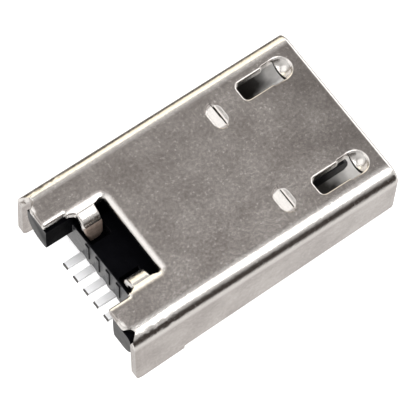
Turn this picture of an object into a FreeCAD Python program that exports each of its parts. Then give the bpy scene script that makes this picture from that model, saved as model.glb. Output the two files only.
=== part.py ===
"""Long-bodied five-contact charging jack for a circuit board.

Frame: the mouth faces -Y, the solder tails lie at +Y, +Z is up. The origin is at the
middle of the shell's length and width, on the plane of the shell's underside.
"""
import FreeCAD, Part
import math
import os

import Sketcher

SIZES = {
    # shell, one folded sheet
    "shell_width": 7.5,
    "shell_length": 11.9,
    "shell_height": 3.1,
    "sheet": 0.3,
    "top_bend": 0.55,
    "low_bend": 0.38,
    "front_lean": 5.5,
    "rear_flare": 1.2,
    "mouth_round": 0.14,
    "leg_length": 2.2,
    "leg_lift": 0.12,
    "leg_corner": 0.3,
    "seam": 0.06,
    # notch over the tails, with its two folded tabs
    "notch_width": 4.08,
    "notch_front_width": 3.64,
    "notch_depth": 2.5,
    "notch_corner": 0.12,
    "notch_ease": 0.1,
    "tab_start": 1.05,
    "tab_slant": 0.22,
    "tab_length": 0.8,
    "tab_bend": 0.62,
    "tab_taper": 0.2,
    "tab_tip_level": 1.56,
    "tab_tip_round": 0.36,
    "tab_tip_ease": 0.1,
    "rear_relief_outer": 0.12,
    "rear_relief_inner": 0.8,
    "rear_relief_bottom": 0.17,
    "rear_relief_depth": 0.29,
    # latch windows, placed from the mouth, with a pressed cup at the front of each
    "window_spacing": 4.8,
    "window_rim": 0.58,
    "window_length": 2.22,
    "window_head": 1.02,
    "window_width": 0.78,
    "window_wide": 0.92,
    "window_corner": 0.2,
    "cup_depth": 0.28,
    "cup_sheet": 0.2,
    # clinch marks in the top, placed from the mouth, each a lip and a flap with a slit between
    "clinch_spacing": 4.24,
    "clinch_back": 4.06,
    "clinch_length": 1.2,
    "clinch_width": 0.52,
    "clinch_depth": 0.13,
    "clinch_tilt": 18,
    "lip_width": 0.17,
    "lip_tilt": 22,
    "clinch_slit": 0.05,
    "slit_length": 0.86,
    # insulator
    "fit": 0.02,
    "block_start": 1.2,
    "mouth_depth": 5.1,
    "board_level": 0.6,
    "deck_level": 2.15,
    "deck_depth": 2.75,
    "left_foot_inner": 1.94,
    "left_foot_outer": 3.15,
    "left_foot_round": 0.85,
    "right_foot_inner": 2.33,
    "right_foot_round": 0.45,
    "foot_level": 1.5,
    "foot_ease": 0.12,
    "rib_width": 0.24,
    "rib_height": 0.95,
    "rib_proud": 0.06,
    "tongue_width": 3.7,
    "tongue_level": 1.72,
    "tongue_height": 0.62,
    "tongue_back": 0.95,
    "tongue_nose": 0.18,
    "pocket_room": 0.12,
    "pocket_gap": 0.03,
    "pocket_view": 0.35,
    "core_radius": 0.42,
    "core_place": 2.46,
    "core_spacing": 4.1,
    "core_depth": 0.35,
    # contacts
    "pitch": 0.65,
    "contact_width": 0.3,
    "contact_sheet": 0.15,
    "tail_tip": 0.38,
    "riser_place": 2.35,
    "contact_back": 0.45,
    "contact_bend": 0.3,
}

CONTACTS = (
    "contact_supply", "contact_data_minus", "contact_data_plus", "contact_sense", "contact_ground",
)
SIDES = (("-", "Right"), ("", "Left"))
CUT_DEPTH = "sheet*1.5"

document = FreeCAD.newDocument("charging_jack")
sheet = document.addObject("Spreadsheet::Sheet", "Sizes")
for row, (name, size) in enumerate(SIZES.items(), start=1):
    sheet.set(f"A{row}", name)
    sheet.set(f"B{row}", str(size))
    sheet.setAlias(f"B{row}", name)
document.recompute()


def named(formula):
    """A formula in size names, as an expression on the sheet."""
    words = sorted(SIZES, key=len, reverse=True)
    text = formula
    for number, word in enumerate(words):
        text = text.replace(word, f"<{number}>")
    for number, word in enumerate(words):
        text = text.replace(f"<{number}>", f"Sizes.{word}")
    return text


def value(formula):
    """The present value of a formula in size names, with angles in degrees."""
    probe = document.getObject("Sizes")
    return float(probe.evalExpression(named(formula)))


def bind(item, prop, formula):
    """Tie one property of an object to a formula in size names."""
    item.setExpression(prop, named(formula))


def new_body(label):
    body = document.addObject("PartDesign::Body", label)
    body.Label = label
    return body


def plane(body, role):
    """One of the body's own origin planes."""
    for feature in body.Origin.OriginFeatures:
        if feature.Role == role:
            return feature
    raise ValueError(role)


def new_sketch(body, name, role, offset="0"):
    """A sketch on an origin plane, moved along the plane's normal by a formula."""
    sketch = body.newObject("Sketcher::SketchObject", name)
    sketch.AttachmentSupport = [(plane(body, role), "")]
    sketch.MapMode = "FlatFace"
    bind(sketch, "AttachmentOffset.Base.z", offset)
    return sketch


def pin(sketch, geometry, end, formulas):
    """Fix one end of a sketch element at a place given by two formulas."""
    for kind, formula in zip(("DistanceX", "DistanceY"), formulas):
        number = sketch.addConstraint(Sketcher.Constraint(kind, -1, 1, geometry, end, value(formula)))
        bind(sketch, f"Constraints[{number}]", formula)


def outline(sketch, corners):
    """A closed outline through (x, y) or (x, y, radius, turn) corners.

    A radius makes the run after that corner an arc; turn is 1 for an arc that goes
    anticlockwise and -1 for one that goes clockwise. A half circle is held by the place
    of its centre, because its radius follows from its ends.
    """
    count = len(corners)
    spots = [FreeCAD.Vector(value(corner[0]), value(corner[1]), 0) for corner in corners]
    runs = []
    for index, corner in enumerate(corners):
        start, end = spots[index], spots[(index + 1) % count]
        if len(corner) == 2:
            runs.append((sketch.addGeometry(Part.LineSegment(start, end)), 1, 2))
            continue
        radius, turn = value(corner[2]), corner[3]
        chord = end - start
        rise = math.sqrt(max(radius ** 2 - (chord.Length / 2) ** 2, 0))
        side = FreeCAD.Vector(-chord.y, chord.x, 0).normalize() * (rise * turn)
        centre = (start + end) / 2 + side
        angles = [math.atan2(spot.y - centre.y, spot.x - centre.x) for spot in (start, end)]
        if turn < 0:
            angles.reverse()
        circle = Part.Circle(centre, FreeCAD.Vector(0, 0, 1), radius)
        arc = sketch.addGeometry(Part.ArcOfCircle(circle, *angles))
        runs.append((arc, 1, 2) if turn > 0 else (arc, 2, 1))
        if chord.Length < 2 * radius - 1e-6:
            number = sketch.addConstraint(Sketcher.Constraint("Radius", arc, radius))
            bind(sketch, f"Constraints[{number}]", corner[2])
        else:
            axis = 1 if abs(chord.x) > abs(chord.y) else 0
            kind = ("DistanceX", "DistanceY")[axis]
            number = sketch.addConstraint(Sketcher.Constraint(kind, -1, 1, arc, 3, value(corner[axis])))
            bind(sketch, f"Constraints[{number}]", corner[axis])
    for index in range(count):
        here, following = runs[index], runs[(index + 1) % count]
        sketch.addConstraint(Sketcher.Constraint("Coincident", here[0], here[2], following[0], following[1]))
    for index, corner in enumerate(corners):
        pin(sketch, runs[index][0], runs[index][1], corner[:2])


def box(sketch, left, low, right, high):
    outline(sketch, [(left, low), (right, low), (right, high), (left, high)])


def disc(sketch, x, y, radius):
    centre = FreeCAD.Vector(value(x), value(y), 0)
    ring = sketch.addGeometry(Part.Circle(centre, FreeCAD.Vector(0, 0, 1), value(radius)))
    pin(sketch, ring, 3, (x, y))
    number = sketch.addConstraint(Sketcher.Constraint("Radius", ring, value(radius)))
    bind(sketch, f"Constraints[{number}]", radius)


def grow(body, kind, name, sketch, length, both=False, reverse=False):
    """A Pad or a Pocket of a sketch, with its length from a formula."""
    feature = body.newObject(f"PartDesign::{kind}", name)
    feature.Profile = sketch
    bind(feature, "Length", length)
    feature.Midplane = both
    feature.Reversed = reverse
    sketch.Visibility = False
    return feature


def loft(body, kind, name, first, last):
    feature = body.newObject(f"PartDesign::{kind}", name)
    feature.Profile = first
    feature.Sections = [last]
    feature.Ruled = True
    return feature


def from_rear(place):
    """The Y of a place that is measured forward from the shell's rear edge."""
    return f"(shell_length/2-({place}))"


def from_mouth(place):
    """The Y of a place that is measured back from the mouth."""
    return f"({place}-shell_length/2)"


def mouth(place):
    """Distance along -Y of a plane that is measured forward from the rear edge."""
    return f"-{from_rear(place)}"


def lean_at(place):
    """The inward lean of the side walls, which turns evenly from the rear to the mouth."""
    return f"(-rear_flare+(front_lean+rear_flare)*({place})/shell_length)"


def wall_points(side, lean, inset):
    """Tangent points down one side of the ring section, for a line inset from its outside."""
    reach = "(shell_width/2-top_bend)"
    shift = f"(top_bend-low_bend-sin({lean})*(shell_height-top_bend-low_bend))/cos({lean})"
    low = f"(shell_width/2-top_bend+{shift})"
    big, small = f"(top_bend-({inset}))", f"(low_bend-({inset}))"
    return {
        "top": (f"{side}{reach}", f"shell_height-({inset})"),
        "bend": (f"{side}({reach}+{big}*cos({lean}))", f"shell_height-top_bend-{big}*sin({lean})"),
        "curl": (f"{side}({low}+{small}*cos({lean}))", f"low_bend-{small}*sin({lean})"),
        "base": (f"{side}{low}", f"{inset}"),
        "big": big,
        "small": small,
    }


def ring(sketch, lean, inset):
    """The closed section of what fits in the folded shell."""
    left, right = wall_points("-", lean, inset), wall_points("", lean, inset)
    outline(sketch, [
        (*right["base"], right["small"], 1), right["curl"], (*right["bend"], right["big"], 1), right["top"],
        (*left["top"], left["big"], 1), left["bend"], (*left["curl"], left["small"], 1), left["base"],
    ])


def wall_section(sketch, side, lean):
    """One side of the folded ring: the big bend, the leaning wall and the small bend under it."""
    outer, inner = wall_points(side, lean, "0"), wall_points(side, lean, "sheet")
    turn = -1 if side else 1
    outline(sketch, [
        (*outer["base"], outer["small"], turn), outer["curl"],
        (*outer["bend"], outer["big"], turn), outer["top"],
        (*inner["top"], inner["big"], -turn), inner["bend"],
        (*inner["curl"], inner["small"], -turn), inner["base"],
    ])


def leg_section(sketch, side, lean):
    """One leg behind the ring: the big bend and a wall that ends in a cut edge."""
    outer, inner = wall_points(side, lean, "0"), wall_points(side, lean, "sheet")
    ends = []
    for points in (outer, inner):
        fall = f"(shell_height-top_bend-{points['big']}*sin({lean})-leg_lift)"
        reach = f"(shell_width/2-top_bend+{points['big']}*cos({lean})-{fall}*tan({lean}))"
        ends.append((f"{side}{reach}", "leg_lift"))
    turn = -1 if side else 1
    outline(sketch, [
        ends[0], (*outer["bend"], outer["big"], turn), outer["top"],
        (*inner["top"], inner["big"], -turn), inner["bend"], ends[1],
    ])


def lofted_side(body, name, section, side, front, rear):
    """A side of the shell, ruled from its section at one place to its section at another."""
    sketches = []
    for end, place in (("Front", front), ("Rear", rear)):
        sketch = new_sketch(body, f"{name}{end}", "XZ_Plane", mouth(place))
        section(sketch, side, lean_at(place))
        sketches.append(sketch)
    return loft(body, "AdditiveLoft", name, *sketches)


def window_outline(sketch, middle):
    """A latch window: narrow with rounded corners behind, wider and half round in front."""
    half, wide = "window_width/2", "window_wide/2"
    rear, step = from_mouth("window_rim+window_length"), from_mouth("window_rim+window_head")
    nose = from_mouth("window_rim+window_wide/2")
    slope = "(window_wide-window_width)/2"
    outline(sketch, [
        (f"{middle}-{half}+window_corner", rear, "window_corner", 1),
        (f"{middle}-{half}", f"{rear}-window_corner"),
        (f"{middle}-{half}", step),
        (f"{middle}-{wide}", f"{step}-{slope}"),
        (f"{middle}-{wide}", nose, "window_wide/2", 1),
        (f"{middle}+{wide}", nose),
        (f"{middle}+{wide}", f"{step}-{slope}"),
        (f"{middle}+{half}", step),
        (f"{middle}+{half}", f"{rear}-window_corner", "window_corner", 1),
        (f"{middle}+{half}-window_corner", rear),
    ])


def clinch_outline(sketch, middle, length, width):
    """A slot with two half round ends, lying along X."""
    half = f"({width})/2"
    place = from_mouth("clinch_back")
    reach = f"(({length})/2-{half})"
    outline(sketch, [
        (f"{middle}-{reach}", f"{place}-{half}"),
        (f"{middle}+{reach}", f"{place}-{half}", half, 1),
        (f"{middle}+{reach}", f"{place}+{half}"),
        (f"{middle}-{reach}", f"{place}+{half}", half, 1),
    ])


def fold_sheet(body):
    """The bent sheet before it is pierced: flat top, two sides with legs, and a floor in two halves."""
    top = new_sketch(body, "TopOutline", "XY_Plane", "shell_height")
    box(top, "-(shell_width/2-top_bend)", from_mouth("0"), "shell_width/2-top_bend", from_rear("0"))
    grow(body, "Pad", "TopPlate", top, "sheet", reverse=True)
    for side, name in SIDES:
        lofted_side(body, f"Wall{name}", wall_section, side, "shell_length", "leg_length")
        lofted_side(body, f"Leg{name}", leg_section, side, "leg_length", "0")
        floor = new_sketch(body, f"Floor{name}", "XY_Plane")
        at_mouth = wall_points(side, lean_at("shell_length"), "0")["base"][0]
        at_legs = wall_points(side, lean_at("leg_length"), "0")["base"][0]
        outline(floor, [
            (f"{side}seam/2", from_mouth("0")), (at_mouth, from_mouth("0")),
            (at_legs, from_rear("leg_length")), (f"{side}seam/2", from_rear("leg_length")),
        ])
        grow(body, "Pad", f"FloorHalf{name}", floor, "sheet")


def round_mouth(body):
    """Ease the outer edge all round the mouth, as the plug meets it."""
    document.recompute()
    base = body.Tip
    front = value(from_mouth("0"))
    middle = FreeCAD.Vector(0, front, value("shell_height/2"))
    names = []
    for number, edge in enumerate(base.Shape.Edges, start=1):
        reach = edge.BoundBox
        if max(abs(reach.YMin - front), abs(reach.YMax - front)) > 1e-4:
            continue
        spot = edge.valueAt((edge.FirstParameter + edge.LastParameter) / 2)
        faces = [face for face in base.Shape.Faces if any(edge.isSame(other) for other in face.Edges)]
        for face in faces:
            normal = face.normalAt(*face.Surface.parameter(spot))
            side = abs(normal.y) < 0.5 and abs(spot.x) > value("seam")
            if side and normal.dot(spot - middle) > 0:
                names.append(f"Edge{number}")
    easing = body.newObject("PartDesign::Fillet", "MouthRound")
    easing.Base = (base, names)
    bind(easing, "Radius", "mouth_round")


def cut_notch(body):
    """The notch in the rear of the top, wide behind, and narrower from the two tabs on."""
    notch = new_sketch(body, "NotchOutline", "XY_Plane", "shell_height")
    half, fold, front = "notch_width/2", "notch_front_width/2", from_rear("notch_depth")
    behind = f"{from_rear('0')}+sheet"
    turn, tab_rear = from_rear("tab_start"), from_rear("tab_start+tab_slant")
    outline(notch, [
        (f"-{half}", behind), (f"-{half}", f"{turn}+notch_ease", "notch_ease", -1),
        (f"-{half}+notch_ease", turn), (f"-{fold}", tab_rear),
        (f"-{fold}", f"{front}+notch_corner", "notch_corner", 1), (f"-{fold}+notch_corner", front),
        (f"{fold}-notch_corner", front, "notch_corner", 1), (fold, f"{front}+notch_corner"),
        (fold, tab_rear), (f"{half}-notch_ease", turn, "notch_ease", -1),
        (half, f"{turn}+notch_ease"), (half, behind),
    ])
    grow(body, "Pocket", "Notch", notch, CUT_DEPTH)


def fold_tab(body, side, name):
    """One tab of the notch: a quarter bend and a blade that narrows to a round tip."""
    turn = 1 if side else -1
    fold = "(notch_front_width/2)"
    low, end = "(shell_height-tab_bend)", "(tab_tip_level-sheet/2)"
    bend = new_sketch(body, f"TabBend{name}", "XZ_Plane", mouth("tab_start+tab_slant"))
    outline(bend, [
        (f"{side}({fold}+sheet/2)", "shell_height-sheet"), (f"{side}({fold}+sheet/2)", "shell_height"),
        (f"{side}{fold}", "shell_height", "tab_bend", -turn), (f"{side}({fold}-tab_bend)", low),
        (f"{side}({fold}-tab_bend)", end), (f"{side}({fold}-tab_bend+sheet)", end),
        (f"{side}({fold}-tab_bend+sheet)", low, "tab_bend-sheet", turn), (f"{side}{fold}", "shell_height-sheet"),
    ])
    grow(body, "Pad", f"FoldedTab{name}", bend, "tab_length")
    trim = new_sketch(body, f"TabTrim{name}", "YZ_Plane", f"{side}({fold}-tab_bend+sheet/2)")
    rear, front = from_rear("tab_start+tab_slant"), from_rear("tab_start+tab_slant+tab_length")
    tip, shoulder = "tab_tip_level", "(tab_tip_level+tab_tip_round)"
    narrow = f"({rear}-tab_taper)"
    outline(trim, [
        (rear, low), (narrow, f"{tip}+tab_tip_ease", "tab_tip_ease", -1), (f"{narrow}-tab_tip_ease", tip),
        (f"{front}+tab_tip_round", tip, "tab_tip_round", -1), (front, shoulder),
        (f"{front}-sheet", shoulder), (f"{front}-sheet", f"{tip}-sheet"),
        (f"{rear}+sheet", f"{tip}-sheet"), (f"{rear}+sheet", low),
    ])
    grow(body, "Pocket", f"TabEnd{name}", trim, "sheet*2", both=True)


def cut_rear_relief(body, side, name):
    """The shallow relief where a leg's bend starts at the rear edge."""
    relief = new_sketch(body, f"Relief{name}", "XY_Plane", "shell_height")
    middle = "(rear_relief_outer+rear_relief_inner)/2"
    spots = [("rear_relief_outer", "-sheet"), ("rear_relief_outer", "0"),
             (f"({middle}-rear_relief_bottom/2)", "rear_relief_depth"),
             (f"({middle}+rear_relief_bottom/2)", "rear_relief_depth"),
             ("rear_relief_inner", "0"), ("rear_relief_inner", "-sheet")]
    outline(relief, [(f"{side}(shell_width/2-{inward})", from_rear(place)) for inward, place in spots])
    grow(body, "Pocket", f"RearRelief{name}", relief, "top_bend")


def press_cup(body, side, name):
    """The half cup at the front of a latch window, open to the rear, where the plug's latch slides in."""
    cup = new_sketch(body, f"CupProfile{name}", "YZ_Plane", f"{side}window_spacing/2")
    bind(cup, "AttachmentOffset.Base.x", from_mouth("window_rim+window_wide/2"))
    rim = "window_wide/2"
    sphere = "((window_wide/2)^2+cup_depth^2)/(2*cup_depth)"
    outline(cup, [
        ("0", "shell_height-cup_depth-cup_sheet"), ("0", "shell_height-cup_depth", sphere, -1),
        (f"-{rim}", "shell_height"), (f"-{rim}-sheet/2", "shell_height"),
        (f"-{rim}-sheet/2", "shell_height-cup_sheet"), (f"-{rim}", "shell_height-cup_sheet", sphere, 1),
    ])
    document.recompute()
    turned = body.newObject("PartDesign::Revolution", f"LatchCup{name}")
    turned.Profile = cup
    turned.ReferenceAxis = (cup, ["V_Axis"])
    turned.Angle = 180
    turned.Midplane = True
    cup.Visibility = False


def sink(body, name, middle, hinge, tilt, corners):
    """Press a tilted patch into the top: it hangs on a line along X and sinks towards the rear."""
    patch = new_sketch(body, name, "XY_Plane", "shell_height")
    tilted = FreeCAD.Rotation(FreeCAD.Vector(-1, 0, 0), value(tilt))
    patch.AttachmentOffset = FreeCAD.Placement(FreeCAD.Vector(0, value(hinge), value("shell_height")), tilted)
    bind(patch, "AttachmentOffset.Base.y", hinge)
    bind(patch, "AttachmentOffset.Rotation.Angle", tilt)
    outline(patch, [(f"{middle}{corner[0]}", *corner[1:]) for corner in corners])
    grow(body, "Pocket", f"{name}Sunk", patch, "clinch_depth*2", reverse=True)


def press_clinch(body, side, name):
    """A clinch mark: a bulge under the sheet, over it a sunk lip and a sunk flap, and a slit between."""
    middle = f"{side}clinch_spacing/2"
    bulge = new_sketch(body, f"Bulge{name}", "XY_Plane", "shell_height-sheet/2")
    clinch_outline(bulge, middle, "clinch_length", "clinch_width")
    grow(body, "Pad", f"ClinchBulge{name}", bulge, "sheet/2+clinch_depth", reverse=True)
    front = f"{from_mouth('clinch_back')}-clinch_width/2"
    reach, corner = "clinch_length/2", "(clinch_width-lip_width)"
    sink(body, f"Lip{name}", middle, front, "lip_tilt", [
        (f"-{reach}+lip_width", "0"), (f"+{reach}-lip_width", "0"),
        (f"+{reach}", "lip_width"), (f"-{reach}", "lip_width"),
    ])
    sink(body, f"Flap{name}", middle, f"{front}+lip_width", "clinch_tilt", [
        (f"-{reach}", "0"), (f"+{reach}", "0", corner, 1), (f"+{reach}-{corner}", corner),
        (f"-{reach}+{corner}", corner, corner, 1),
    ])
    slit = new_sketch(body, f"Slit{name}", "XY_Plane", "shell_height")
    low = f"{front}+lip_width-clinch_slit"
    box(slit, f"{middle}-slit_length/2", low, f"{middle}+slit_length/2", f"{low}+clinch_slit")
    grow(body, "Pocket", f"ClinchSlit{name}", slit, CUT_DEPTH)


def make_shell():
    """The folded sheet: a closed ring round the mouth, and a top with two legs behind it."""
    body = new_body("shell")
    fold_sheet(body)
    round_mouth(body)
    cut_notch(body)
    for side, name in SIDES:
        cut_rear_relief(body, side, name)
        fold_tab(body, side, name)
        window = new_sketch(body, f"Window{name}", "XY_Plane", "shell_height")
        window_outline(window, f"{side}window_spacing/2")
        grow(body, "Pocket", f"LatchWindow{name}", window, CUT_DEPTH)
        press_cup(body, side, name)
        press_clinch(body, side, name)

    corner = new_sketch(body, "LegCorner", "YZ_Plane")
    rear = from_rear("0")
    outline(corner, [
        (f"{rear}-leg_corner", "leg_lift", "leg_corner", 1), (rear, "leg_lift+leg_corner"),
        (f"{rear}+sheet", "leg_lift+leg_corner"), (f"{rear}+sheet", "leg_lift-sheet"),
        (f"{rear}-leg_corner", "leg_lift-sheet"),
    ])
    grow(body, "Pocket", "LegCorners", corner, "shell_width*2", both=True)
    return body


def contact_profile(sketch, room):
    """The side view of one contact: tail, riser and the long blade under the tongue."""
    low, high = f"(board_level-{room})", f"(board_level+contact_sheet+{room})"
    under, over = f"(tongue_level-{room})", f"(tongue_level+contact_sheet+{room})"
    riser, back = from_rear(f"riser_place+contact_sheet+{room}"), from_rear(f"riser_place-{room}")
    tip, end = from_rear(f"tail_tip-{room}"), from_mouth(f"tongue_back+contact_back-{room}")
    outer, inner = f"(contact_bend+{room})", f"(contact_bend-contact_sheet-{room})"
    outline(sketch, [
        (tip, low), (tip, high),
        (f"{back}+{inner}", high, inner, -1), (back, f"{high}+{inner}"),
        (back, f"{over}-{outer}", outer, 1), (f"{back}-{outer}", over),
        (end, over), (end, under),
        (f"{riser}-{inner}", under, inner, -1), (riser, f"{under}-{inner}"),
        (riser, f"{low}+{outer}", outer, 1), (f"{riser}+{outer}", low),
    ])


def make_contact(label, step):
    body = new_body(label)
    sketch = new_sketch(body, f"{label}_profile", "YZ_Plane")
    contact_profile(sketch, "0")
    grow(body, "Pad", f"{label}_blade", sketch, "contact_width", both=True)
    bind(body, "Placement.Base.x", f"{step}*pitch")
    return body


def foot_outline(sketch, side, inner, outer, corner, shoulder):
    """A rear foot of the insulator, seen from behind, with two rounded lower corners."""
    roof, turn = "(shell_height-sheet-fit)", (-1 if side else 1)
    outline(sketch, [
        (f"{side}{inner}", roof), (f"{side}{inner}", "foot_level+foot_ease", "foot_ease", turn),
        (f"{side}({inner}+foot_ease)", "foot_level"),
        (f"{side}({outer}-{corner})", "foot_level", corner, turn), (f"{side}{outer}", f"foot_level+{corner}"),
        (f"{side}{outer}", f"{roof}-{shoulder}", shoulder, turn), (f"{side}({outer}-{shoulder})", roof),
    ])


def make_housing():
    """The moulded insulator: a block in the shell, two feet behind it and the tongue in the mouth."""
    body = new_body("housing")
    rear = new_sketch(body, "BlockRear", "XZ_Plane", mouth("block_start"))
    ring(rear, lean_at("block_start"), "(sheet+fit)")
    front = new_sketch(body, "BlockFront", "XZ_Plane", mouth("shell_length-mouth_depth"))
    ring(front, lean_at("(shell_length-mouth_depth)"), "(sheet+fit)")
    loft(body, "AdditiveLoft", "Block", rear, front)

    step = new_sketch(body, "BoardStep", "XY_Plane")
    box(step, "-shell_width/2", from_rear("leg_length+fit"), "shell_width/2", from_rear("0"))
    grow(body, "Pocket", "BoardClearance", step, "board_level", reverse=True)
    deck = new_sketch(body, "DeckOutline", "XY_Plane", "shell_height")
    box(deck, "-notch_width/2", from_rear("deck_depth"), "notch_width/2", from_rear("0"))
    grow(body, "Pocket", "Deck", deck, "shell_height-deck_level")

    feet = {
        "Left": ("left_foot_inner", "left_foot_outer", "left_foot_round", "foot_ease"),
        "Right": ("right_foot_inner", "(shell_width/2-sheet-fit)", "right_foot_round", "(top_bend-sheet-fit)"),
    }
    for side, name in SIDES:
        foot = new_sketch(body, f"Foot{name}", "XZ_Plane", mouth("fit"))
        foot_outline(foot, side, *feet[name])
        grow(body, "Pad", f"RearFoot{name}", foot, "block_start+fit")
        pocket = new_sketch(body, f"TabPocket{name}", "XY_Plane", "shell_height")
        inner = f"{side}(notch_front_width/2-tab_bend-pocket_view)"
        ahead, behind = from_rear("tab_start+tab_slant+tab_length+pocket_room"), "tab_start+tab_slant+pocket_gap"
        box(pocket, inner, ahead, f"{side}(notch_front_width/2+pocket_gap)", from_rear(behind))
        grow(body, "Pocket", f"TabRoom{name}", pocket, "shell_height-tab_tip_level+pocket_room")
        core = new_sketch(body, f"CoreOutline{name}", "XY_Plane", "shell_height")
        disc(core, f"{side}core_spacing/2", from_rear("core_place"), "core_radius")
        grow(body, "Pocket", f"CorePocket{name}", core, "shell_height-deck_level+core_depth")

    for index in range(len(CONTACTS) - 1):
        rib = new_sketch(body, f"Rib{index}", "YZ_Plane", f"({index}-1.5)*pitch")
        low = "board_level+contact_sheet+contact_bend"
        box(rib, from_rear("block_start+rib_proud"), low, from_rear("block_start-rib_proud"), f"{low}+rib_height")
        grow(body, "Pad", f"RearRib{index}", rib, "rib_width", both=True)

    tongue = new_sketch(body, "TongueProfile", "YZ_Plane")
    base, tip = from_mouth("mouth_depth+sheet"), from_mouth("tongue_back")
    top = "(tongue_level+tongue_height)"
    outline(tongue, [
        (base, "tongue_level"), (base, top), (f"{tip}+tongue_nose", top),
        (tip, f"{top}-tongue_nose"), (tip, "tongue_level+tongue_nose"), (f"{tip}+tongue_nose", "tongue_level"),
    ])
    grow(body, "Pad", "Tongue", tongue, "tongue_width", both=True)
    for index in range(len(CONTACTS)):
        way = new_sketch(body, f"Way{index}", "YZ_Plane", f"{index - 2}*pitch")
        contact_profile(way, "fit")
        grow(body, "Pocket", f"ContactWay{index}", way, "contact_width+2*fit", both=True)
    return body


def check(items):
    """Stop if a feature failed or a piece is not one sound solid."""
    document.recompute()
    for item in document.Objects:
        if "Invalid" in item.State or "Error" in item.State:
            raise RuntimeError(f"{item.Name} failed: {item.State}")
    for item in items:
        shape = item.Shape
        if shape.isNull() or not shape.isValid() or len(shape.Solids) != 1:
            raise RuntimeError(f"{item.Label} is not one sound solid: {len(shape.Solids)}")


def main():
    pieces = [make_shell(), make_housing()]
    middle = (len(CONTACTS) - 1) / 2
    pieces += [make_contact(label, int(middle - index)) for index, label in enumerate(CONTACTS)]
    check(pieces)
    os.makedirs("parts", exist_ok=True)
    for piece in pieces:
        piece.Shape.exportStep(f"parts/{piece.Label}.step")
        box_size = piece.Shape.BoundBox
        print(piece.Label, round(piece.Shape.Volume, 4), box_size)


main()
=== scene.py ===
"""Studio picture of a folded charging jack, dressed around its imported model.

The mouth faces -Y, the solder tails lie at +Y and +Z is up. Shapes are worked out in
millimetres, where their bevels are well behaved, and brought to metres at the end.
"""

from __future__ import annotations

import logging
import math
from dataclasses import dataclass
from enum import Enum, IntEnum

import bmesh
import bpy
from mathutils import Matrix, Vector

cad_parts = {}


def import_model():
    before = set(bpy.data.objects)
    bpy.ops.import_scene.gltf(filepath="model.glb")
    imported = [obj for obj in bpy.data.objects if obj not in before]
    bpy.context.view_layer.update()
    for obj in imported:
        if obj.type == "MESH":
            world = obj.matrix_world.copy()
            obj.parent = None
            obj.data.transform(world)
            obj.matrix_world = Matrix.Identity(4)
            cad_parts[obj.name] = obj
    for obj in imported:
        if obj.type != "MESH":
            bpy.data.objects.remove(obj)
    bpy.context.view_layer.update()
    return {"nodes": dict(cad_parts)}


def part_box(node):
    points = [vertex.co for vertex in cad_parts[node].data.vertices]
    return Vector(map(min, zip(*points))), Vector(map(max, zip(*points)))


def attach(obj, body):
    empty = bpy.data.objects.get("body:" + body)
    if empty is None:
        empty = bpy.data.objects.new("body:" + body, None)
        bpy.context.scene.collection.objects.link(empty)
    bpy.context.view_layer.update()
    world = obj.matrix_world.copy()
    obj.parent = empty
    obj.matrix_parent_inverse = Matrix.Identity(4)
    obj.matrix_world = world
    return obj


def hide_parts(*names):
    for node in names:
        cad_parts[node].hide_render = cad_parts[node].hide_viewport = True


LOG = logging.getLogger("charging_jack")
MM = 0.001
BODY = "root"
PICTURE_SIDE = 416
Colour = tuple[float, float, float]
Spot = tuple[float, float, float]
Span = tuple[float, float]
Stops = tuple[tuple[float, Colour], ...]
WHITE: Colour = (1.0, 1.0, 1.0)


class Grain(Enum):
    """How a surface's fine relief is drawn."""

    STAMPED = "stamped"
    MOULDED = "moulded"
    ROLLED = "rolled"


class Rays(Enum):
    """The rays that a shader can answer in their own way."""

    SEEN = "Is Camera Ray"
    MIRRORED = "Is Glossy Ray"


class ShellFinish(IntEnum):
    """The shell's material slots."""

    PLATED = 0
    INSIDE_PAINTED_LIGHT_AND_SHADE = 1
    TAB_PAINTED_SHEEN = 2


class HousingFinish(IntEnum):
    """The insulator's material slots."""

    MOULDED = 0
    SMOOTH = 1
    REAR_PAINTED_LIGHT = 2


class Signal:
    """One output socket, with arithmetic that adds Math nodes."""

    def __init__(self, tree: "ShaderTree", socket: bpy.types.NodeSocket) -> None:
        """Keep the socket and the tree it belongs to."""
        self.tree = tree
        self.socket = socket

    def __add__(self, other: "Signal | float") -> "Signal":
        """Sum of two values."""
        return self.tree.maths("ADD", self, other)

    __radd__ = __add__

    def __mul__(self, other: "Signal | float") -> "Signal":
        """Product of two values."""
        return self.tree.maths("MULTIPLY", self, other)

    __rmul__ = __mul__

    def __sub__(self, other: "Signal | float") -> "Signal":
        """Difference of two values."""
        return self.tree.maths("SUBTRACT", self, other)

    def __rsub__(self, other: float) -> "Signal":
        """Difference of a number and this value."""
        return self.tree.maths("SUBTRACT", other, self)

    def __pow__(self, power: float) -> "Signal":
        """This value raised to a power."""
        return self.tree.maths("POWER", self, power)

    def __abs__(self) -> "Signal":
        """This value without its sign."""
        return self.tree.maths("ABSOLUTE", self, 0.0)

    def at_least(self, other: "Signal | float") -> "Signal":
        """The larger of two values."""
        return self.tree.maths("MAXIMUM", self, other)

    def stretched(self, low: float, high: float) -> "Signal":
        """The range from low to high brought to 0 to 1, and clamped."""
        ends = {"From Min": low, "From Max": high}
        made = self.tree.node("ShaderNodeMapRange", {"clamp": True}, Value=self, **ends)
        return Signal(self.tree, made.outputs["Result"])


@dataclass(frozen=True)
class Patches:
    """Smooth noise: its patches to a millimetre, and how often and how strongly they break up."""

    scale: float
    detail: float
    roughness: float = 0.5


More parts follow.
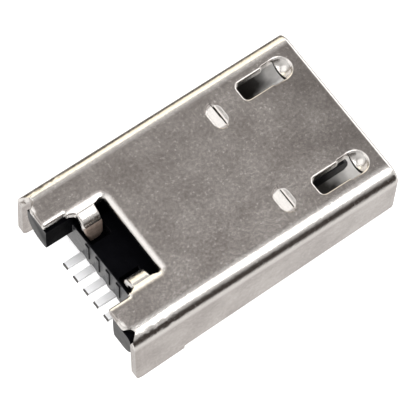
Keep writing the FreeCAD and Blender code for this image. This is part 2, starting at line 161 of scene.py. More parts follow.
class ShaderTree:
    """The node tree of one material or world."""

    def __init__(self, owner: bpy.types.Material | bpy.types.World) -> None:
        """Start an empty tree on its owner."""
        owner.use_nodes = True
        self.tree = owner.node_tree
        self.tree.nodes.clear()

    def node(self, kind: str, settings: dict[str, object] | None = None, **sockets: object) -> bpy.types.Node:
        """Make one node.

        Args:
            kind: The node's type.
            settings: Properties that are set before the sockets, and a ramp's stops.
            sockets: Values, signals or sockets by input name, or by number as in_0.

        Returns:
            The new node.
        """
        made = self.tree.nodes.new(kind)
        for name, setting in (settings or {}).items():
            if name == "stops":
                self._set_stops(made, setting)
            else:
                setattr(made, name, setting)
        for name, given in sockets.items():
            socket = made.inputs[int(name[3:])] if name.startswith("in_") else made.inputs[name]
            if isinstance(given, Signal):
                given = given.socket
            if isinstance(given, bpy.types.NodeSocket):
                self.tree.links.new(given, socket)
            else:
                socket.default_value = given
        return made

    def _set_stops(self, ramp: bpy.types.Node, stops: Stops) -> None:
        """Give a colour ramp its stops.

        Args:
            ramp: The ramp's node.
            stops: The place and colour of each stop, from 0 to 1.
        """
        elements = ramp.color_ramp.elements
        while len(elements) < len(stops):
            elements.new(1.0)
        for element, (place, colour) in zip(elements, stops):
            element.position = place
            element.color = (*colour, 1.0)

    def maths(self, operation: str, first: Signal | float, second: Signal | float) -> Signal:
        """A Math node on two values."""
        made = self.node("ShaderNodeMath", {"operation": operation}, in_0=first, in_1=second)
        return Signal(self, made.outputs[0])

    def mix(self, mask: Signal, first: Signal | Colour, second: Signal | Colour) -> Signal:
        """Mix two colours.

        Args:
            mask: How much of the second colour there is, from 0 to 1.
            first: The colour where the mask is 0.
            second: The colour where the mask is 1.

        Returns:
            The mixed colour.
        """
        first, second = (c if isinstance(c, Signal) else (*c, 1.0) for c in (first, second))
        made = self.node("ShaderNodeMix", {"data_type": "RGBA"}, in_0=mask, in_6=first, in_7=second)
        return Signal(self, made.outputs[2])

    def object_place(self, stretch: Spot = (1.0, 1.0, 1.0)) -> bpy.types.NodeSocket:
        """Read the object's own coordinates.

        Args:
            stretch: How much each axis is scaled.

        Returns:
            The place in millimetres.
        """
        place = self.node("ShaderNodeTexCoord").outputs["Object"]
        scale = [part / MM for part in stretch]
        return self.node("ShaderNodeMapping", Vector=place, Scale=scale).outputs["Vector"]

    def parts(self, vector: bpy.types.NodeSocket) -> tuple[Signal, ...]:
        """The three parts of a vector."""
        return tuple(Signal(self, part) for part in self.node("ShaderNodeSeparateXYZ", Vector=vector).outputs)

    def noise(self, place: bpy.types.NodeSocket, patches: Patches) -> Signal:
        """Smooth noise around one half."""
        sizes = {"Scale": patches.scale, "Detail": patches.detail, "Roughness": patches.roughness}
        return Signal(self, self.node("ShaderNodeTexNoise", Vector=place, **sizes).outputs[0])

    def bump(self, height: Signal, distance: float) -> bpy.types.NodeSocket:
        """A normal bent by a height, where a height of one stands for the distance in millimetres."""
        made = self.node("ShaderNodeBump", Height=height, Strength=1.0, Distance=distance * MM)
        return made.outputs["Normal"]

    def by_rays(self, rays: Rays, others: bpy.types.NodeSocket,
                those: bpy.types.NodeSocket) -> bpy.types.NodeSocket:
        """Give one kind of ray a shader of its own.

        Args:
            rays: The kind of ray.
            others: The shader for all other rays.
            those: The shader for that kind.

        Returns:
            The mixed shader.
        """
        chosen = self.node("ShaderNodeLightPath").outputs[rays.value]
        return self.node("ShaderNodeMixShader", in_0=chosen, in_1=others, in_2=those).outputs[0]

    def close(self, shader: bpy.types.NodeSocket, kind: str = "ShaderNodeOutputMaterial") -> None:
        """Lead the shader to the tree's output."""
        self.node(kind, Surface=shader)


@dataclass(frozen=True)
class PaintedShade:
    """A painted shade: a change to a darker tone along the length of the faces above a level."""

    start: float
    end: float
    level: float
    strength: float
    tone: Colour = (0.08, 0.07, 0.065)
    depth: float = 0.2
    drift: float = 0.8


@dataclass(frozen=True)
class Opening:
    """A punched opening, the same on both sides, and how far and deep the sheet is drawn down there."""

    middle: float
    half_width: float
    rear: float
    front: float
    corner: float
    reach: float
    drop: float


NOTCH_FRONT = Opening(middle=0.0, half_width=1.82, rear=7.0, front=3.45, corner=0.12, reach=0.4, drop=0.08)
NOTCH_STEP = Opening(middle=0.0, half_width=2.04, rear=7.0, front=5.0, corner=0.02, reach=0.25, drop=0.05)
PLATE_REAR = Opening(middle=3.5, half_width=0.72, rear=7.0, front=5.93, corner=0.02, reach=0.25, drop=0.05)
WINDOW = Opening(middle=2.4, half_width=0.39, rear=-3.15, front=-4.9, corner=0.2, reach=0.12, drop=0.018)
CUP = Opening(middle=2.4, half_width=0.46, rear=-4.45, front=-5.37, corner=0.46, reach=0.12, drop=0.018)
CLINCH = Opening(middle=2.12, half_width=0.44, rear=-1.6, front=-2.2, corner=0.26, reach=0.06, drop=0.008)
MOUTH_LIP = Opening(middle=0.0, half_width=9.0, rear=-5.93, front=-9.0, corner=0.0, reach=0.22, drop=0.04)
OPENINGS = (NOTCH_FRONT, NOTCH_STEP, PLATE_REAR, WINDOW, CUP, CLINCH, MOUTH_LIP)

# Where a painted highlight lightens the plating: nearness to an opening, then millimetres up and across.
PAINTED_HIGHLIGHT_NEAR: Span = (0.3, 0.6)
PAINTED_HIGHLIGHT_HIGH: Span = (2.6, 2.7)
PAINTED_BEND_HIGHLIGHT_ACROSS: Span = (3.06, 3.22)
PAINTED_BEND_HIGHLIGHT_HIGH: Span = (2.35, 2.75)

MOTTLE_SPAN: Span = (0.3, 0.7)
CLOUD_SPAN: Span = (0.35, 0.65)
MOTTLE_DETAIL, MOTTLE_ROUGHNESS = 4.0, 0.62
CLOUDS = Patches(scale=0.7, detail=3.0)
DENTS, DENT_HEIGHT = Patches(scale=3.0, detail=2.0), 1.5
SINKS, SINK_HEIGHT = Patches(scale=14.0, detail=3.0), 0.5
ROLL_LINES, ROLL_STRETCH = Patches(scale=9.0, detail=3.0), (1.0, 0.08, 1.0)


@dataclass(frozen=True)
class Finish:
    """A surface: two tones that mingle, how rough it is and the grain of its relief."""

    name: str
    dark: Colour
    light: Colour
    metallic: float
    roughness: float
    roughness_spread: float
    grain: Grain
    grain_size: float
    relief: float
    specular: float = 0.5
    # Painted shade: a darker tone laid along the length of the faces above a level.
    painted_shade: PaintedShade | None = None
    # Painted highlight: a light tone laid on the sheet's rims and bends.
    painted_highlight: Colour | None = None

    def build(self) -> bpy.types.Material:
        """Make the material.

        Returns:
            The finished node material.
        """
        material = bpy.data.materials.new(self.name)
        tree = ShaderTree(material)
        place = tree.object_place()
        mottle = tree.noise(place, Patches(1 / self.grain_size, MOTTLE_DETAIL, MOTTLE_ROUGHNESS))
        mottle = mottle.stretched(*MOTTLE_SPAN)
        cloud = tree.noise(place, CLOUDS).stretched(*CLOUD_SPAN)
        colour = tree.mix(mottle * 0.5 + cloud * 0.5, self.dark, self.light)
        # Painted shade: a darker tone laid along the length.
        if self.painted_shade:
            colour = tree.mix(self._faded(tree, place, cloud), colour, self.painted_shade.tone)
        height = self._height(tree, place, mottle)
        # Painted highlight: a light tone on the rims of the openings and on the top bends.
        if self.painted_highlight:
            drawn, painted_highlight_mask = self._edges(tree, place)
            colour = tree.mix(painted_highlight_mask, colour, self.painted_highlight)
            height = height - drawn * (1 / self.relief)
        shader = tree.node(
            "ShaderNodeBsdfPrincipled", None,
            Metallic=self.metallic,
            Roughness=mottle * self.roughness_spread + (self.roughness - self.roughness_spread / 2),
            Normal=tree.bump(height, self.relief),
            **{"Base Color": colour, "Specular IOR Level": self.specular},
        )
        tree.close(shader.outputs[0])
        return material

    def _faded(self, tree: ShaderTree, place: bpy.types.NodeSocket, cloud: Signal) -> Signal:
        """Work out how much painted shade there is at each place.

        Args:
            tree: The finish's tree.
            place: The place in millimetres.
            cloud: Wide patches that make the painted shade uneven.

        Returns:
            The share of the painted shade's tone.
        """
        _, along, high = tree.parts(place)
        along = along + (cloud - 0.5) * self.painted_shade.drift
        high = high.stretched(self.painted_shade.level - self.painted_shade.depth, self.painted_shade.level)
        return along.stretched(self.painted_shade.start, self.painted_shade.end) * high * self.painted_shade.strength

    def _edges(self, tree: ShaderTree, place: bpy.types.NodeSocket) -> tuple[Signal, Signal]:
        """Work out how the sheet looks beside its openings and on its bends.

        Args:
            tree: The finish's tree.
            place: The place in millimetres.

        Returns:
            How deep the sheet is drawn down, in millimetres, and how far a painted highlight lightens its
            plating on the rims and bends.
        """
        across, along, high = tree.parts(place)
        across = abs(across)
        drawn: Signal | float = 0.0
        painted_highlight_mask: Signal | float = 0.0
        for spot in OPENINGS:
            aside = abs(across - spot.middle) - (spot.half_width - spot.corner)
            beyond = (along - (spot.rear - spot.corner)).at_least((spot.front + spot.corner) - along)
            aside, beyond = aside.at_least(0.0), beyond.at_least(0.0)
            away = (aside * aside + beyond * beyond) ** 0.5 - spot.corner
            near = away.stretched(spot.reach, 0.0)
            drawn = (near * near * spot.drop).at_least(drawn)
            painted_highlight_mask = near.stretched(*PAINTED_HIGHLIGHT_NEAR).at_least(painted_highlight_mask)
        # Painted highlight along the top bends, where the plate turns down into the walls.
        bend = across.stretched(*PAINTED_BEND_HIGHLIGHT_ACROSS) * high.stretched(*PAINTED_BEND_HIGHLIGHT_HIGH)
        return drawn, bend.at_least(painted_highlight_mask * high.stretched(*PAINTED_HIGHLIGHT_HIGH))

    def _height(self, tree: ShaderTree, place: bpy.types.NodeSocket, mottle: Signal) -> Signal:
        """Draw the relief that the grain asks for.

        Args:
            tree: The finish's tree.
            place: The place in millimetres.
            mottle: The finish's finest patches.

        Returns:
            The height, in units of the relief.
        """
        if self.grain is Grain.STAMPED:
            return mottle + tree.noise(place, DENTS) * DENT_HEIGHT
        if self.grain is Grain.MOULDED:
            return mottle + tree.noise(place, SINKS) * SINK_HEIGHT
        return tree.noise(tree.object_place(ROLL_STRETCH), ROLL_LINES)


NICKEL = Finish(
    name="plated_steel", dark=(0.32, 0.288, 0.27), light=(0.53, 0.495, 0.47), metallic=1.0,
    roughness=0.23, roughness_spread=0.10, grain=Grain.STAMPED, grain_size=0.13, relief=0.003,
    # A painted highlight on the rims of the openings and on the top bends.
    painted_highlight=(0.82, 0.79, 0.76),
    # A painted shade that darkens the top plate toward the mouth.
    painted_shade=PaintedShade(start=-3.2, end=-6.6, level=3.05, strength=0.42),
)
# Painted sheen: a lighter, brownish, half-metallic copy of the plating on the inward faces of the tab blades,
# standing in for the light they mirror.
TAB_PAINTED_SHEEN = Finish(
    name="tab_painted_sheen", dark=(0.22, 0.16, 0.13), light=(0.50, 0.40, 0.34), metallic=0.35,
    roughness=0.42, roughness_spread=0.12, grain=Grain.ROLLED, grain_size=0.16, relief=0.004,
)
# Painted light and shade inside the tube: a pale tone near the mouth stands in for light, and a painted shade
# darkens it deeper in.
INSIDE_PAINTED_LIGHT_AND_SHADE = Finish(
    name="inside_painted_light_and_shade", dark=(0.62, 0.60, 0.58), light=(0.80, 0.79, 0.78), metallic=0.3,
    roughness=0.45, roughness_spread=0.1, grain=Grain.ROLLED, grain_size=0.2, relief=0.002,
    painted_shade=PaintedShade(start=-5.3, end=-4.4, level=-1.0, strength=1.0, tone=(0.022, 0.019, 0.017)),
)
PLASTIC = Finish(
    name="black_insulator", dark=(0.0012, 0.0012, 0.0016), light=(0.003, 0.003, 0.004), metallic=0.0,
    roughness=0.42, roughness_spread=0.12, grain=Grain.MOULDED, grain_size=0.3, relief=0.003, specular=0.008,
)
# Painted light: a lighter, glossier copy of the black plastic for the tongue and the faces to the rear.
GLOSSY_PAINTED_LIGHT_PLASTIC = Finish(
    name="glossy_painted_light_insulator", dark=(0.006, 0.006, 0.007), light=(0.012, 0.012, 0.014), metallic=0.0,
    roughness=0.34, roughness_spread=0.1, grain=Grain.MOULDED, grain_size=0.3, relief=0.003, specular=0.2,
)
# Painted light: a grey, glossier copy of the black plastic for the faces to the rear above the tails.
REAR_PAINTED_LIGHT = Finish(
    name="rear_painted_light_insulator", dark=(0.012, 0.012, 0.014), light=(0.05, 0.05, 0.055), metallic=0.0,
    roughness=0.3, roughness_spread=0.1, grain=Grain.MOULDED, grain_size=0.25, relief=0.002, specular=0.4,
)
# Pale matte tin, lightened to near white as a painted highlight on the tails.
TIN_AND_PAINTED_HIGHLIGHT = Finish(
    name="tinned_contact", dark=(0.92, 0.92, 0.93), light=(0.97, 0.97, 0.97), metallic=0.05,
    roughness=0.36, roughness_spread=0.1, grain=Grain.ROLLED, grain_size=0.3, relief=0.003,
)
# Dark bare metal of the sheared ends; where it runs onto the tails' faces just before the ends, it is painted
# shade.
SHEARED_END_AND_PAINTED_SHADE = Finish(
    name="sheared_end_and_painted_shade", dark=(0.10, 0.095, 0.09), light=(0.16, 0.15, 0.14), metallic=0.8,
    roughness=0.5, roughness_spread=0.1, grain=Grain.ROLLED, grain_size=0.3, relief=0.004,
)


def finished_mesh(source: bpy.types.Object, name: str) -> bpy.types.Object:
    """Turn an object in millimetres, with its modifiers, into a plain piece in metres.

    Args:
        source: The object to read, which is removed.
        name: The piece's name.

    Returns:
        The piece, at the origin, with its place in its mesh.
    """
    graph = bpy.context.evaluated_depsgraph_get()
    mesh = bpy.data.meshes.new_from_object(source.evaluated_get(graph))
    mesh.transform(Matrix.Scale(MM, 4))
    mesh.name = name
    bpy.data.objects.remove(source)
    piece = bpy.data.objects.new(name, mesh)
    bpy.context.scene.collection.objects.link(piece)
    LOG.info("%s: %d faces", name, len(mesh.polygons))
    return piece


@dataclass(frozen=True)
class Region:
    """A box in millimetres."""

    low: Spot
    high: Spot

    def holds(self, spot: Vector) -> bool:
        """Whether a point lies in the box."""
        return all(low <= part <= high for low, part, high in zip(self.low, spot, self.high))


@dataclass(frozen=True)
class Zone(Region):
    """A box in millimetres and how far the sharp edges that lie in it are eased."""

    ease: float


SHELL_ZONES = (
    Zone(low=(-3.3, -5.6, 0.5), high=(3.3, 5.96, 3.2), ease=0.03),
    Zone(low=(-3.4, -5.6, 3.08), high=(3.4, -2.7, 3.2), ease=0.07),
    Zone(low=(-3.4, -2.6, 3.08), high=(3.4, -1.2, 3.2), ease=0.03),
    Zone(low=(-3.6, 3.3, 3.08), high=(3.6, 5.96, 3.2), ease=0.085),
    Zone(low=(-3.3, 3.3, 2.7), high=(3.3, 5.96, 3.2), ease=0.085),
    Zone(low=(-1.9, 3.3, 1.4), high=(1.9, 4.75, 3.2), ease=0.085),
)
HOUSING_ZONES = (Zone(low=(-3.4, -6.0, 0.35), high=(3.4, 6.0, 2.7), ease=0.04),)


@dataclass(kw_only=True)
class EasedCopy:
    """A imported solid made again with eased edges, so that each edge catches the light.

    Lengths are in millimetres and angles in degrees. The last zone that holds both ends of
    a sharp edge sets its easing, and an edge in no zone stays crisp. The first finish is
    the plain one.
    """

    node: str
    finishes: tuple[bpy.types.Material, ...]
    zones: tuple[Zone, ...]
    segments: int
    merge: float = 0.0004
    flat_angle: float = 0.6
    sharp_angle: float = 28.0

    def build(self, source: bpy.types.Object) -> bpy.types.Object:
        """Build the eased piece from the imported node, which it then stands for.

        Args:
            source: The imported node's object.

        Returns:
            The new piece.
        """
        mesh = source.data.copy()
        mesh.transform(Matrix.Scale(1 / MM, 4))
        self._clean(mesh)
        work = bpy.data.objects.new(self.node + "_work", mesh)
        bpy.context.scene.collection.objects.link(work)
        bevel = work.modifiers.new("ease", "BEVEL")
        bevel.limit_method = "WEIGHT"
        bevel.width = self._widest()
        bevel.segments = self.segments
        bevel.use_clamp_overlap = False
        bevel.loop_slide = False
        bevel.miter_outer = "MITER_ARC"
        weigh = work.modifiers.new("even_shading", "WEIGHTED_NORMAL")
        weigh.keep_sharp = True
        piece = finished_mesh(work, self.node + "_piece")
        self._hold_in_box(piece)
        self._dress(piece)
        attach(piece, BODY)
        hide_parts(self.node)
        return piece

    def finish_of(self, middle: Vector, normal: Vector) -> int:
        """The number of a face's finish, here always the plain one; pieces that need more choose by its
        middle in millimetres and the way it faces.
        """
        return 0

    def _widest(self) -> float:
        """The widest easing of all zones."""
        return max(zone.ease for zone in self.zones)

    def _clean(self, mesh: bpy.types.Mesh) -> None:
        """Join the loose triangles, drop the ones that lie flat and weigh the edges.

        Args:
            mesh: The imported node's mesh in millimetres, which is changed.
        """
        build = bmesh.new()
        build.from_mesh(mesh)
        bmesh.ops.remove_doubles(build, verts=build.verts, dist=self.merge)
        bmesh.ops.dissolve_limit(
            build, angle_limit=math.radians(self.flat_angle), verts=build.verts, edges=build.edges,
            use_dissolve_boundaries=False, delimit=set(),
        )
        weight = build.edges.layers.float.new("bevel_weight_edge")
        for edge in build.edges:
            if edge.calc_face_angle(0.0) > math.radians(self.sharp_angle):
                ease = self._ease_of(edge)
                edge[weight] = ease / self._widest()
                edge.smooth = ease > 0.0
        for face in build.faces:
            face.smooth = True
        build.to_mesh(mesh)
        build.free()

    def _ease_of(self, edge: bmesh.types.BMEdge) -> float:
        """How far one sharp edge is eased."""
        eases = [zone.ease for zone in self.zones if all(zone.holds(vertex.co) for vertex in edge.verts)]
        return eases[-1] if eases else 0.0

    def _hold_in_box(self, piece: bpy.types.Object) -> None:
        """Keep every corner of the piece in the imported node's box.

        Args:
            piece: The piece, which is changed.
        """
        low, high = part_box(self.node)
        for vertex in piece.data.vertices:
            held = (min(max(part, small), large) for small, part, large in zip(low, vertex.co, high))
            vertex.co = Vector(held)

    def _dress(self, piece: bpy.types.Object) -> None:
        """Give each face of the piece its finish.

        Args:
            piece: The piece, which is changed.
        """
        piece.data.materials.clear()
        for finish in self.finishes:
            piece.data.materials.append(finish)
        for polygon in piece.data.polygons:
            polygon.material_index = self.finish_of(polygon.center / MM, polygon.normal)


@dataclass(kw_only=True)
class Shell(EasedCopy):
    """The folded shell, with painted light and shade inside its tube and a painted sheen on its folded tabs'
    blades.
    """

    node: str = "shell"
    zones: tuple[Zone, ...] = SHELL_ZONES
    segments: int = 4
    mid_height: float = 1.55
    tube_inside: Region = Region(low=(-3.62, -6.0, 0.2), high=(3.62, 3.0, 2.6))
    tab_blades: Region = Region(low=(-1.8, 3.5, 0.0), high=(1.8, 4.7, 2.72))

    def finish_of(self, middle: Vector, normal: Vector) -> int:
        """Choose a face's finish.

        Args:
            middle: The face's middle in millimetres.
            normal: The way it faces.

        Returns:
            The number of its finish.
        """
        inward = Vector((-middle.x, 0.0, self.mid_height - middle.z)).dot(normal) > 0.0
        # Inward faces of the tube get the painted light and shade.
        if inward and self.tube_inside.holds(middle):
            return ShellFinish.INSIDE_PAINTED_LIGHT_AND_SHADE
        # The tab blades' inward faces get the painted sheen.
        if middle.x * normal.x < 0.0 and self.tab_blades.holds(middle):
            return ShellFinish.TAB_PAINTED_SHEEN
        return ShellFinish.PLATED


@dataclass(kw_only=True)
class Housing(EasedCopy):
    """The moulded insulator, glossier on its tongue and on its faces to the rear, where lighter copies of its
    black are painted light.
    """

    node: str = "housing"
    zones: tuple[Zone, ...] = HOUSING_ZONES
    segments: int = 2
    rear_facing: float = 0.5
    tongue_rear: float = 1.0
    over_tails: Region = Region(low=(-2.0, 4.6, 0.0), high=(2.0, 4.9, 2.2))

    def finish_of(self, middle: Vector, normal: Vector) -> int:
        """Choose a face's finish.

        Args:
            middle: The face's middle in millimetres.
            normal: The way it faces.

        Returns:
            The number of its finish.
        """
        # Faces to the rear get lighter copies of the black plastic as painted light.
        if normal.y > self.rear_facing:
            return HousingFinish.REAR_PAINTED_LIGHT if self.over_tails.holds(middle) else HousingFinish.SMOOTH
        return HousingFinish.SMOOTH if middle.y < self.tongue_rear else HousingFinish.MOULDED


@dataclass
class ContactRow:
    """The five contacts, each a flat strip led along its bends.

    Lengths are in millimetres and angles in degrees.
    """

    finish: bpy.types.Material
    end_finish: bpy.types.Material
    nodes: tuple[str, ...] = (
        "contact_supply", "contact_data_minus", "contact_data_plus", "contact_sense", "contact_ground",
    )
    sheet: float = 0.15
    bend: float = 0.225
    bend_steps: int = 10
    riser_back: float = 2.425
    edge_round: float = 0.03
    edge_steps: int = 3
    inset: float = 0.002
    # Length of the dark end finish on the tails' faces, which is painted shade.
    painted_end_shade: float = 0.045
    sharp_angle: float = 40.0

    def build(self) -> list[bpy.types.Object]:
        """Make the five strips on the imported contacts.

        Returns:
            The pieces, one for each contact.
        """
        tree = self.strip_tree()
        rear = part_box("shell")[1].y / MM
        return [self._strip(tree, node, rear - self.riser_back) for node in self.nodes]

    def strip_tree(self) -> bpy.types.NodeTree:
        """Make the tree that turns a run of straight lines into a bent strip with eased edges.

        Returns:
            The node tree, with its sizes as named inputs.
        """
        tree = bpy.data.node_groups.new("bent_strip", "GeometryNodeTree")
        face = tree.interface
        face.new_socket(name="Path", in_out="INPUT", socket_type="NodeSocketGeometry")
        for name in ("Width", "Thickness", "Bend Radius", "Edge Radius", "End Start"):
            face.new_socket(name=name, in_out="INPUT", socket_type="NodeSocketFloat")
        for name in ("Finish", "End Finish"):
            face.new_socket(name=name, in_out="INPUT", socket_type="NodeSocketMaterial")
        face.new_socket(name="Strip", in_out="OUTPUT", socket_type="NodeSocketGeometry")

        def add(kind: str, settings: dict[str, object], links: dict[str, object]) -> bpy.types.Node:
            """Make one node.

            Args:
                kind: The node's type.
                settings: Properties that are set first.
                links: Values or sockets by input name.

            Returns:
                The new node.
            """
            made = tree.nodes.new(kind)
            for name, setting in settings.items():
                setattr(made, name, setting)
            for name, given in links.items():
                if isinstance(given, bpy.types.NodeSocket):
                    tree.links.new(given, made.inputs[name])
                else:
                    made.inputs[name].default_value = given
            return made

        given = add("NodeGroupInput", {}, {}).outputs
        line = add("GeometryNodeMeshToCurve", {}, {"Mesh": given["Path"]})
        bent = add("GeometryNodeFilletCurve", {"mode": "POLY"}, {
            "Curve": line.outputs[0], "Radius": given["Bend Radius"], "Count": self.bend_steps,
        })
        outline = add("GeometryNodeCurvePrimitiveQuadrilateral", {"mode": "RECTANGLE"}, {
            "Width": given["Width"], "Height": given["Thickness"],
        })
        eased = add("GeometryNodeFilletCurve", {"mode": "POLY"}, {
            "Curve": outline.outputs[0], "Radius": given["Edge Radius"], "Count": self.edge_steps,
        })
        solid = add("GeometryNodeCurveToMesh", {}, {
            "Curve": bent.outputs[0], "Profile Curve": eased.outputs[0], "Fill Caps": True,
        })
        smooth = add("GeometryNodeSetShadeSmooth", {}, {"Geometry": solid.outputs[0]})
        real = add("GeometryNodeRealizeInstances", {}, {"Geometry": smooth.outputs[0]})
        dressed = add("GeometryNodeSetMaterial", {}, {
            "Geometry": real.outputs[0], "Material": given["Finish"],
        })
        spot = add("GeometryNodeInputPosition", {}, {})
        place = add("ShaderNodeSeparateXYZ", {}, {"Vector": spot.outputs[0]})
        # The dark end finish, painted shade on the faces before the cut end, goes on the strip's last
        # stretch.
        behind = add("FunctionNodeCompare", {"operation": "GREATER_THAN"}, {
            "A": place.outputs["Y"], "B": given["End Start"],
        })
        ended = add("GeometryNodeSetMaterial", {}, {
            "Geometry": dressed.outputs[0], "Selection": behind.outputs[0], "Material": given["End Finish"],
        })
        add("NodeGroupOutput", {}, {"Strip": ended.outputs[0]})
        return tree

    def _strip(self, tree: bpy.types.NodeTree, node: str, riser: float) -> bpy.types.Object:
        """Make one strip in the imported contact's box.

        Args:
            tree: The tree that bends a strip.
            node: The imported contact's name.
            riser: Where the strip's riser stands along the length.

        Returns:
            The piece.
        """
        low, high = (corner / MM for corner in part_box(node))
        half, middle = self.sheet / 2, (low.x + high.x) / 2
        tail, blade = low.z + half, high.z - half
        spots = [
            (middle, high.y - self.inset, tail), (middle, high.y - self.painted_end_shade, tail),
            (middle, riser, tail), (middle, riser, blade), (middle, low.y + self.inset, blade),
        ]
        mesh = bpy.data.meshes.new(node + "_path")
        mesh.from_pydata(spots, [(0, 1), (1, 2), (2, 3), (3, 4)], [])
        work = bpy.data.objects.new(node + "_work", mesh)
        bpy.context.scene.collection.objects.link(work)
        modifier = work.modifiers.new("strip", "NODES")
        modifier.node_group = tree
        sizes = {
            "Width": high.x - low.x - self.inset, "Thickness": self.sheet - self.inset,
            "Bend Radius": self.bend, "Edge Radius": self.edge_round,
            "End Start": high.y - self.painted_end_shade - self.inset,
            "Finish": self.finish, "End Finish": self.end_finish,
        }
        for socket in tree.interface.items_tree:
            if socket.name in sizes:
                modifier[socket.identifier] = sizes[socket.name]
        piece = finished_mesh(work, node + "_piece")
        piece.data.set_sharp_from_angle(angle=math.radians(self.sharp_angle))
        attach(piece, BODY)
        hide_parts(node)
        return piece


@dataclass(frozen=True)
class Lamp:
    """A soft rectangular lamp that faces the object. Lengths are in metres."""

    name: str
    place: Spot
    width: float
    depth: float
    power: float
    tint: Colour = WHITE

    def hang(self) -> None:
        """Hang the lamp at its place."""
        lamp = bpy.data.lights.new(self.name, "AREA")
        lamp.shape = "RECTANGLE"
        lamp.size, lamp.size_y = self.width, self.depth
        lamp.energy = self.power
        lamp.color = self.tint
        holder = bpy.data.objects.new(self.name, lamp)
        holder.location = self.place
        holder.rotation_mode = "QUATERNION"
        holder.rotation_quaternion = (-Vector(self.place)).to_track_quat("-Z", "Y")
        bpy.context.scene.collection.objects.link(holder)


LAMPS = (
    Lamp(name="overhead", place=(-0.029, -0.036, 0.132), width=0.10, depth=0.10, power=0.062),
    Lamp(name="behind", place=(0.052, 0.070, 0.109), width=0.12, depth=0.12, power=0.034),
    Lamp(name="front", place=(0.035, -0.12, 0.055), width=0.14, depth=0.07, power=0.044),
    Lamp(name="far_side", place=(0.119, -0.036, 0.064), width=0.10, depth=0.10, power=0.037,
         tint=(1.0, 0.93, 0.76)),
)


@dataclass(frozen=True)
class Surroundings:
    """What the metal mirrors: a soft sky with a dark horizon on both long sides, and the floor.

    Heights and sides of the sky are parts of a direction of length one. The floor's are millimetres.
    """

    sky: Stops = (
        (0.0, (0.95, 0.95, 0.95)), (0.35, (0.75, 0.74, 0.73)),
        (0.75, (0.49, 0.48, 0.475)), (1.0, (0.42, 0.41, 0.405)),
    )
    dark_aside: Span = (0.64, 0.78)
    dark_below: Span = (0.36, 0.6)
    sides: Span = (-0.1, 0.1)
    near_dark: Colour = (0.035, 0.026, 0.022)
    far_dark: Colour = (0.24, 0.20, 0.15)
    floor_aside: Span = (6.5, 11.0)
    floor_near: Colour = (1.0, 0.985, 0.97)
    floor_far: Colour = (0.04, 0.03, 0.025)

    def sky_tone(self, tree: ShaderTree) -> Signal:
        """Mix the sky that the metal mirrors.

        Args:
            tree: The world's tree.

        Returns:
            The colour in each direction.
        """
        way = tree.node("ShaderNodeTexCoord").outputs["Generated"]
        across, _, height = tree.parts(way)
        soft = Signal(tree, tree.node("ShaderNodeValToRGB", {"stops": self.sky}, Fac=height).outputs["Color"])
        dim = abs(across).stretched(*self.dark_aside) * (1.0 - height.stretched(*self.dark_below))
        dark = tree.mix(across.stretched(*self.sides), self.near_dark, self.far_dark)
        return tree.mix(dim, soft, dark)

    def floor_tone(self, tree: ShaderTree) -> Signal:
        """Mix the floor that the metal mirrors: light near the object, and dark far out on both sides.

        Args:
            tree: The floor's tree.

        Returns:
            The colour at each place.
        """
        across, _, _ = tree.parts(tree.object_place())
        return tree.mix(abs(across).stretched(*self.floor_aside), self.floor_near, self.floor_far)


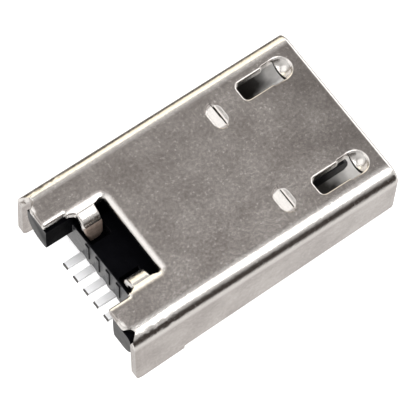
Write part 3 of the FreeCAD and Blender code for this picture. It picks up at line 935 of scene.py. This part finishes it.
@dataclass
class Studio:
    """The pale floor, the soft lights and the camera. Lengths are in metres, angles in degrees."""

    azimuth: float = 234.55
    elevation: float = 62.9
    distance: float = 0.22116
    aim: Spot = (-0.00012, 0.000114, 0.0015)
    focal_pixels: float = 6000.0
    sensor: float = 36.0
    nearest: float = 0.01
    farthest: float = 2.0
    floor_size: float = 0.6
    floor_level: float = -0.00001
    floor_grey: float = 0.86
    floor_glow: float = 0.72
    floor_shine: float = 1.03
    ambient: float = 1.1
    surroundings: Surroundings = Surroundings()
    lamps: tuple[Lamp, ...] = LAMPS

    def build(self) -> None:
        """Make everything that stands around the object."""
        self._camera()
        self._floor()
        self._world()
        for lamp in self.lamps:
            lamp.hang()
        bpy.context.scene.view_settings.view_transform = "Standard"

    def _camera(self) -> None:
        """Stand the camera where the photograph was taken from."""
        turn, rise = math.radians(self.azimuth), math.radians(self.elevation)
        back = Vector((math.sin(turn) * math.cos(rise), -math.cos(turn) * math.cos(rise), math.sin(rise)))
        lens = bpy.data.cameras.new("camera")
        lens.sensor_width = self.sensor
        lens.lens = self.sensor * self.focal_pixels / PICTURE_SIDE
        lens.clip_start, lens.clip_end = self.nearest, self.farthest
        camera = bpy.data.objects.new("camera", lens)
        camera.location = Vector(self.aim) + back * self.distance
        camera.rotation_mode = "QUATERNION"
        camera.rotation_quaternion = (-back).to_track_quat("-Z", "Y")
        bpy.context.scene.collection.objects.link(camera)
        bpy.context.scene.camera = camera

    def _floor(self) -> None:
        """Lay the floor: white to the camera but for the object's shadow, and soft in reflections."""
        half = self.floor_size / 2
        corners = [(-half, -half), (half, -half), (half, half), (-half, half)]
        mesh = bpy.data.meshes.new("floor")
        mesh.from_pydata([(x, y, self.floor_level) for x, y in corners], [], [(0, 1, 2, 3)])
        floor = bpy.data.objects.new("floor", mesh)
        bpy.context.scene.collection.objects.link(floor)
        material = bpy.data.materials.new("pale_floor")
        tree = ShaderTree(material)
        grey = (self.floor_grey, self.floor_grey, self.floor_grey, 1.0)
        tone = self.surroundings.floor_tone(tree)
        lit = tree.node("ShaderNodeBsdfDiffuse", Color=grey).outputs[0]
        glow = tree.node("ShaderNodeEmission", Color=(*WHITE, 1.0), Strength=self.floor_glow).outputs[0]
        seen = tree.node("ShaderNodeAddShader", in_0=lit, in_1=glow).outputs[0]
        shine = tree.node("ShaderNodeEmission", Color=tone, Strength=self.floor_shine).outputs[0]
        tree.close(tree.by_rays(Rays.MIRRORED, tree.by_rays(Rays.SEEN, lit, seen), shine))
        mesh.materials.append(material)

    def _world(self) -> None:
        """Surround the object: white to the camera, a soft sky in reflections, and even light."""
        world = bpy.data.worlds.new("studio")
        bpy.context.scene.world = world
        tree = ShaderTree(world)
        tone = self.surroundings.sky_tone(tree)
        mirrored = tree.node("ShaderNodeBackground", Color=tone, Strength=1.0).outputs[0]
        even = tree.node("ShaderNodeBackground", Color=(*WHITE, 1.0), Strength=self.ambient).outputs[0]
        white = tree.node("ShaderNodeBackground", Color=(*WHITE, 1.0), Strength=1.0).outputs[0]
        around = tree.by_rays(Rays.MIRRORED, even, mirrored)
        tree.close(tree.by_rays(Rays.SEEN, around, white), "ShaderNodeOutputWorld")


def main() -> None:
    """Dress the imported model, light it and hand it to the frame."""
    logging.basicConfig(level=logging.INFO)
    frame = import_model()
    nickel, plastic = NICKEL.build(), PLASTIC.build()
    for node, finish in (("shell", nickel), ("housing", plastic)):
        frame["nodes"][node].data.materials.clear()
        frame["nodes"][node].data.materials.append(finish)
    Shell(finishes=(nickel, INSIDE_PAINTED_LIGHT_AND_SHADE.build(), TAB_PAINTED_SHEEN.build())).build(frame["nodes"]["shell"])
    Housing(finishes=(plastic, GLOSSY_PAINTED_LIGHT_PLASTIC.build(), REAR_PAINTED_LIGHT.build())).build(frame["nodes"]["housing"])
    ContactRow(TIN_AND_PAINTED_HIGHLIGHT.build(), SHEARED_END_AND_PAINTED_SHADE.build()).build()
    Studio().build()


if __name__ == "__main__":
    main()
